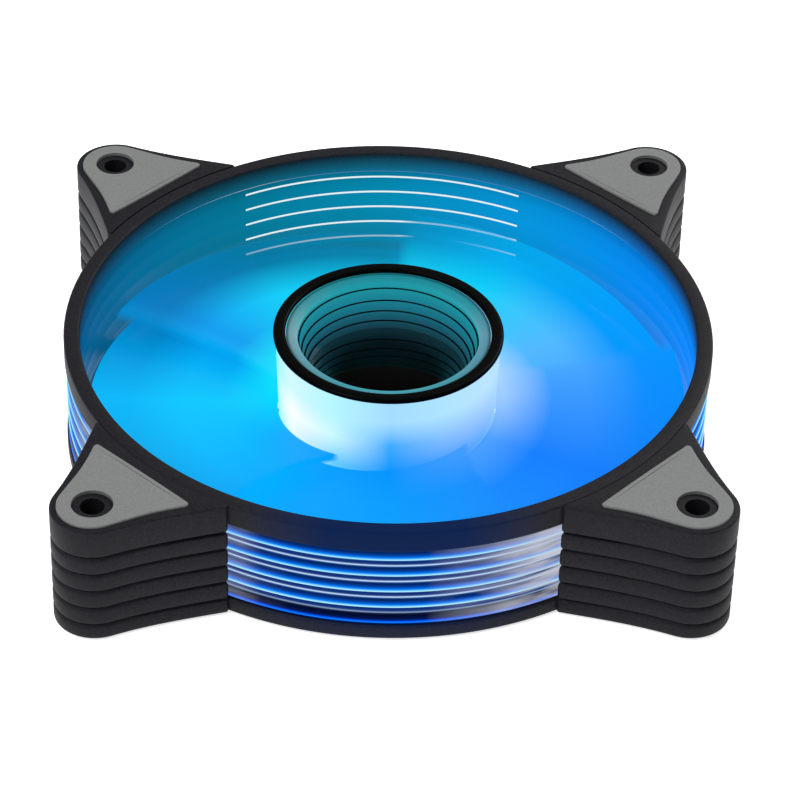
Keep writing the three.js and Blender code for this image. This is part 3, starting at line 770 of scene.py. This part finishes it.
def placeCorners():
    front, post, topPad = frontCorner(), rearPost(), frontPad()
    makeActive(topPad)
    bpy.ops.object.duplicate()
    lowPad = bpy.context.object
    lowPad.scale = (1, 1, -1)
    lowPad.location = (0, 0, padTop)
    bpy.ops.object.transform_apply(location=True, scale=True)
    startEdit(lowPad)
    bpy.ops.mesh.select_all(action="SELECT")
    bpy.ops.mesh.normals_make_consistent(inside=False)
    stopEdit()
    for quarter, name in enumerate(quarterNames):
        cadName = cadQuarters[quarter]
        for piece, start, slotName, finish, node in (
            (front, "frontCorner", "black_plastic", "abs", "front_shell"),
            (post, "rearPost", "black_plastic", "abs", "rear_shell"),
            (topPad, "frontPad", "grey_rubber", "rubber", "front_pad_" + cadName),
            (lowPad, "rearPad", "grey_rubber", "rubber", "rear_pad_" + cadName),
        ):
            copy = turnedCopy(piece, start + name, quarter * 90)
            finishPiece(copy, "frame", slotName, finishes[finish], node)
    for piece in (front, post, topPad, lowPad):
        bpy.data.objects.remove(piece)
    print("corners and pads placed")


# rims of the air duct and the clear ring between them

duct = dict(radius=57.0, rimRound=0.45, steps=240, glassOuter=59.8, ridgeDepth=1.0, crestPower=0.8,
            wall=0.35, skinGap=0.02, ribDepth=0.12, ridgeSamples=84)


def rim(name, low, high, node):
    inner = mm(duct["radius"])
    section = [(inner, low), (ringOuter, low), (ringOuter, high), (inner, high)]
    piece = turnProfile(name, section, duct["steps"])
    roundEdges(piece, mm(duct["rimRound"]), segments=4)
    finishPiece(piece, "frame", "black_plastic", finishes["abs"], node)


def ridgedRing():
    # ridges with round crests and narrow valleys around the outside
    crest = mm(duct["glassOuter"])
    inner = mm(duct["radius"] + duct["wall"])
    section = [(inner, glassHigh), (inner, glassLow)]
    for i in range(duct["ridgeSamples"] + 1):
        z = glassLow + (glassHigh - glassLow) * i / duct["ridgeSamples"]
        phase = (z - mm(ridges["firstZ"])) / mm(ridges["pitch"]) * math.pi
        dip = mm(duct["ridgeDepth"]) * abs(math.sin(phase)) ** duct["crestPower"]
        section.append((crest - dip, z))
    piece = turnProfile("ridgedRing", section, duct["steps"])
    finishPiece(piece, "frame", "clear_plastic", finishes["glass"], "light_ring", angle=60)


def ductLinerRing():
    # the guide's inner skin, with a shallow rib behind each ridge
    inner = mm(duct["radius"])
    outer = mm(duct["radius"] + duct["wall"] - duct["skinGap"])
    section = [(outer, glassLow), (outer, glassHigh)]
    for i in range(duct["ridgeSamples"] + 1):
        z = glassHigh - (glassHigh - glassLow) * i / duct["ridgeSamples"]
        phase = (z - mm(ridges["firstZ"] + ridges["wallShift"])) / mm(ridges["pitch"]) * math.pi
        section.append((inner + mm(duct["ribDepth"]) * abs(math.sin(phase)), z))
    piece = turnProfile("ductLinerRing", section, duct["steps"])
    finishPiece(piece, "frame", "clear_plastic", finishes["liner"], "light_ring", angle=60)


# the back: struts, motor base and blank label

back = dict(baseRadius=20.8, baseThickness=1.6, strutWidth=3.4, cableStrutWidth=6.6, strutThickness=2.2,
            innerAngle=52.0, outerAngle=66.0, labelRadius=16.0, channelWidth=3.4, channelDepth=1.5,
            overlap=3, reach=1.5, strutRound=0.6, struts=4, labelStep=0.3, shaftHole=4.2)


def barAlong(name, inner, outer, width, height, z):
    # a straight bar from inner to outer, centred on the height z
    run = outer - inner
    middle = (inner + outer) / 2
    deselectAll()
    bpy.ops.mesh.primitive_cube_add(size=1)
    bar = bpy.context.object
    bar.name = name
    bar.scale = (run.length, width, height)
    bar.rotation_euler = (0, 0, math.atan2(run.y, run.x))
    bar.location = (middle.x, middle.y, z)
    bpy.ops.object.transform_apply(location=True, rotation=True, scale=True)
    return bar


def strut(name, turn, width):
    inner = polar(mm(back["baseRadius"] - back["overlap"]), back["innerAngle"] + turn)
    outer = polar(mm(duct["radius"] + back["reach"]), back["outerAngle"] + turn)
    height = mm(back["strutThickness"])
    piece = barAlong(name, inner, outer, mm(width), height, rearFace + height / 2)
    roundEdges(piece, mm(back["strutRound"]), segments=4)
    return piece


def cableChannel(piece):
    # the cable's way along the first strut, open to the rear
    inner = polar(mm(back["labelRadius"]), back["innerAngle"])
    outer = polar(mm(duct["radius"] + back["reach"]), back["outerAngle"])
    run = (outer - inner).normalized()
    width, height = mm(back["channelWidth"]), mm(2 * back["channelDepth"])
    cutter = barAlong("channelCutter", inner - run * mm(3), outer + run * mm(9), width, height, rearFace)
    cutAway(piece, cutter)
    bpy.data.objects.remove(cutter)


def motorBase():
    top, step = rearFace + mm(back["baseThickness"]), rearFace + mm(back["labelStep"])
    hole, label = mm(back["shaftHole"]), mm(back["labelRadius"] + 0.1)
    outer = mm(back["baseRadius"])
    section = [(hole, step), (label, step), (label, rearFace), (outer, rearFace), (outer, top), (hole, top)]
    piece = turnProfile("motorBase", section, 128)
    roundEdges(piece, mm(0.2), segments=2)
    cableChannel(piece)
    finishPiece(piece, "frame", "black_plastic", finishes["abs"], "rear_shell")


def labelDisc():
    low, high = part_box("rear_label")[0][2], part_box("rear_label")[1][2]
    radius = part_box("rear_label")[1][0]
    piece = turnProfile("blankLabel", [(0, low), (radius, low), (radius, high), (0, high)], 128)
    film = plainFinish("labelFilm", "#34363a", 0.45, 0.0, 0.6, 0.005)
    finishPiece(piece, "frame", "label_film", film, "rear_label")


def placeBack():
    for i in range(back["struts"]):
        width = back["cableStrutWidth"] if i == 0 else back["strutWidth"]
        piece = strut("strut%d" % (i + 1), i * 90, width)
        if i == 0:
            cableChannel(piece)
        finishPiece(piece, "frame", "black_plastic", finishes["abs"], "rear_shell")
    motorBase()
    labelDisc()
    print("back placed")


# the rotor

blade = dict(count=5, thickness=1.4, rootRadius=20.5, tipRadius=55.75, phase=4.0, rootChord=96.0,
             tipChord=82.0, sweep=6, trailReach=4.0, trailZ=4.2, rootLeadZ=8.0, tipLeadZ=10.8,
             edgeRound=0.6, chordSteps=56, spanSteps=28)


def bladePoint(along, out):
    # along runs from the trailing to the leading edge, out from the root to the tip
    radius = mm(blade["rootRadius"] + (blade["tipRadius"] - blade["rootRadius"]) * out)
    trail = -blade["trailReach"] * out
    lead = blade["tipChord"] + (blade["rootChord"] - blade["tipChord"]) * (1 - out) ** blade["sweep"]
    leadZ = blade["rootLeadZ"] + (blade["tipLeadZ"] - blade["rootLeadZ"]) * out
    place = polar(radius, blade["phase"] + trail + (lead - trail) * along)
    return Vector((place.x, place.y, mm(blade["trailZ"] + (leadZ - blade["trailZ"]) * along)))


def firstBlade():
    deselectAll()
    bpy.ops.mesh.primitive_grid_add(x_subdivisions=blade["chordSteps"], y_subdivisions=blade["spanSteps"],
                                    size=2)
    piece = bpy.context.object
    piece.name = "bladeBlank"
    for vertex in piece.data.vertices:
        vertex.co = bladePoint((vertex.co.x + 1) / 2, (vertex.co.y + 1) / 2)
    wall = piece.modifiers.new("wall", "SOLIDIFY")
    wall.thickness = mm(blade["thickness"])
    wall.offset = 0
    applyModifiers(piece)
    roundEdges(piece, mm(blade["edgeRound"]), segments=4, angle=60)
    startEdit(piece)
    faceOut()
    stopEdit()
    return piece


def placeBlades():
    first = firstBlade()
    for i in range(blade["count"]):
        copy = turnedCopy(first, "rotorBlade%d" % (i + 1), i * 360 / blade["count"])
        finishPiece(copy, "rotor", "frosted_plastic", finishes["blade"], "impeller", angle=50)
    bpy.data.objects.remove(first)
    print("blades placed")


hub = dict(wall=1.2, draft=0.7, underBezel=0.45, guideWidth=2.1, guideDrop=0.5)


def hubCup():
    top = hubRadius - mm(hub["underBezel"])
    foot, wall = top - mm(hub["draft"]), mm(hub["wall"])
    section = [(foot - wall, hubFoot), (foot, hubFoot), (top, hubRim), (top - wall, hubRim)]
    piece = turnProfile("hubCup", section, 192)
    roundEdges(piece, mm(0.25), segments=3)
    finishPiece(piece, "rotor", "frosted_plastic", finishes["hub"], "impeller")


def hubBezel():
    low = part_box("hub_bezel")[0][2]
    inner = lensRadius + mm(0.1)
    section = [(inner, low), (hubRadius, low), (hubRadius, hubTop), (inner, hubTop)]
    piece = turnProfile("hubBezel", section, 192)
    roundEdges(piece, mm(0.42), segments=6)
    finishPiece(piece, "rotor", "bezel_plastic", finishes["bezel"], "hub_bezel")


def mirrorLens():
    low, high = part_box("mirror_lens")[0][2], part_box("mirror_lens")[1][2] - mm(0.1)
    piece = turnProfile("mirrorLens", [(0, low), (lensRadius, low), (lensRadius, high), (0, high)], 128)
    finishPiece(piece, "rotor", "mirror_glass", finishes["lens"], "mirror_lens")


def guideRing():
    low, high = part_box("hub_light_ring")[0][2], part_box("hub_light_ring")[1][2]
    inner = lensRadius - mm(hub["guideWidth"])
    section = [(inner, low), (lensRadius, low), (lensRadius, high), (inner, high - mm(hub["guideDrop"]))]
    piece = turnProfile("guideRing", section, 192)
    roundEdges(piece, mm(0.12), segments=3, angle=20)
    finishPiece(piece, "rotor", "glow_plastic", finishes["guide"], "hub_light_ring")


well = dict(ribs=4, firstRib=0.12, lastGap=0.1, crowding=0.86, ribHeight=0.3, ribDepth=0.3, ribRoot=0.15,
            taper=2.0, wall=0.6, floor=wellFloor)


def mirrorWell():
    # a plain lit wall that narrows on the way down, fine black ribs in it as painted shade for the dark gaps
    # between its rings of light, and the rear mirror as the floor
    low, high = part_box("mirror_well")[0][2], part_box("mirror_well")[1][2]
    floor = low + mm(well["floor"])
    mouth = lensRadius - mm(hub["guideWidth"])
    foot = mouth - mm(well["taper"])
    outer = mouth + mm(well["wall"])
    section = [(foot, low), (outer, low), (outer, high), (mouth, high), (foot, floor)]
    piece = turnProfile("wellWall", section, 160)
    roundEdges(piece, mm(0.08), segments=2)
    finishPiece(piece, "rotor", "tunnel_plastic", finishes["tunnel"], "mirror_well")
    half = mm(well["ribHeight"] / 2)
    for i in range(well["ribs"]):
        share = ((i + well["firstRib"]) / (well["ribs"] - well["lastGap"])) ** well["crowding"]
        z = high - (high - floor) * share
        radius = foot + (mouth - foot) * (z - floor) / (high - floor)
        root, crest = radius + mm(well["ribRoot"]), radius - mm(well["ribDepth"])
        section = [(root, z - half), (root, z + half), (crest, z)]
        rib = turnProfile("wellRib%d" % (i + 1), section, 160)
        finishPiece(rib, "rotor", "tunnel_plastic", finishes["rib"], "mirror_well")
    face = foot - mm(0.04)
    mirror = turnProfile("rearMirror", [(0, low), (face, low), (face, floor), (0, floor)], 96)
    roundEdges(mirror, mm(0.05), segments=2)
    finishPiece(mirror, "rotor", "mirror_glass", finishes["mirror"], "mirror_well")


def placeHub():
    hubCup()
    hubBezel()
    mirrorLens()
    guideRing()
    mirrorWell()
    print("hub placed")


# motor parts keep their CAD shapes and get their real finishes

motorFinishes = {
    "plainSteel": ("metal", "#b3b6ba", 0.3, ["rotor_yoke", "shaft"]),
    "laminatedSteel": ("metal", "#7c8086", 0.45, ["stator_core"]),
    "enamelledCopper": ("metal", "#c0703a", 0.35, ["coil_1", "coil_2", "coil_3", "coil_4"]),
    "turnedBrass": ("metal", "#c9a24c", 0.3, ["bearing_tube", "shaft_boss"]),
    "sinteredBronze": ("metal", "#9a7a45", 0.55, ["sleeve_bearing"]),
    "bondedFerrite": ("plastic", "#2a2a2c", 0.7, ["ring_magnet"]),
    "whiteNylon": ("plastic", "#e6e3da", 0.5, [
        "stator_insulator_rear", "stator_insulator_front", "retaining_clip",
    ]),
    "solderMask": ("plastic", "#14281e", 0.3, ["circuit_board"]),
    "chipResin": ("plastic", "#141416", 0.55, ["driver_chip", "hall_sensor"]),
    "ledLens": ("plastic", "#f4f3e6", 0.2, ["led_%d" % i for i in range(1, 9)]),
}


def finishMotor():
    for name, (kind, colour, roughness, nodes) in motorFinishes.items():
        metallic, depthMm = (1.0, 0.004) if kind == "metal" else (0.0, 0.005)
        material = plainFinish(name, colour, roughness, metallic, 0.3, depthMm)
        for node in nodes:
            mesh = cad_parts[node].data
            mesh.materials.clear()
            mesh.materials.append(material)
    print("motor finished")


# studio

studio = dict(lens=162.35, azimuth=-2.317, elevation=37.677, roll=1.544, distance=660.13,
              target=(1.022, -5.025, 12.5))


def setCamera():
    azimuth, elevation = math.radians(studio["azimuth"]), math.radians(studio["elevation"])
    level = math.cos(elevation)
    away = Vector((math.sin(azimuth) * level, -math.cos(azimuth) * level, math.sin(elevation)))
    data = bpy.data.cameras.new("studioCamera")
    data.lens = studio["lens"]
    data.clip_start = 0.01
    camera = bpy.data.objects.new("studioCamera", data)
    bpy.context.scene.collection.objects.link(camera)
    camera.rotation_mode = "QUATERNION"
    facing = (-away).to_track_quat("-Z", "Y").to_matrix()
    roll = Matrix.Rotation(math.radians(studio["roll"]), 3, "Z")
    camera.rotation_quaternion = (facing @ roll).to_quaternion()
    camera.location = Vector(studio["target"]) / 1000 + away * mm(studio["distance"])
    bpy.context.scene.camera = camera


def addSoftbox(name, place, size, power):
    data = bpy.data.lights.new(name, "AREA")
    data.shape = "RECTANGLE"
    data.size, data.size_y = size
    data.energy = power
    softbox = bpy.data.objects.new(name, data)
    bpy.context.scene.collection.objects.link(softbox)
    softbox.location = place
    softbox.rotation_mode = "QUATERNION"
    softbox.rotation_quaternion = (Vector((0, 0, 0.012)) - Vector(place)).to_track_quat("-Z", "Y")


def setStudio():
    deselectAll()
    bpy.ops.mesh.primitive_plane_add(size=4)
    floor = bpy.context.object
    floor.name = "studioFloor"
    paper, shader = startMaterial("whitePaper", "#ffffff", 0.9, Specular_IOR_Level=0.1)
    addGrain(paper, shader, 2.0, 0.01)
    shader.inputs["Emission Color"].default_value = linear("#ffffff")
    shader.inputs["Emission Strength"].default_value = 0.65
    floor.data.materials.append(paper)
    world = bpy.data.worlds.new("studio")
    world.use_nodes = True
    world.node_tree.nodes["Background"].inputs["Color"].default_value = linear("#ffffff")
    world.node_tree.nodes["Background"].inputs["Strength"].default_value = 0.45
    bpy.context.scene.world = world
    addSoftbox("keySoftbox", (-0.5, -0.3, 0.9), (0.5, 0.5), 6)
    addSoftbox("rimSoftbox", (0.5, 0.6, 0.6), (0.6, 0.3), 4)
    bpy.context.scene.view_settings.view_transform = "Standard"
    setCamera()
    print("studio set")


placeCorners()
rim("frontRim", glassHigh + mm(0.1), frontFace, "front_shell")
rim("rearRim", rearFace, glassLow - mm(0.1), "rear_shell")
ridgedRing()
ductLinerRing()
print("duct placed")
placeBack()
placeBlades()
placeHub()
finishMotor()
setStudio()
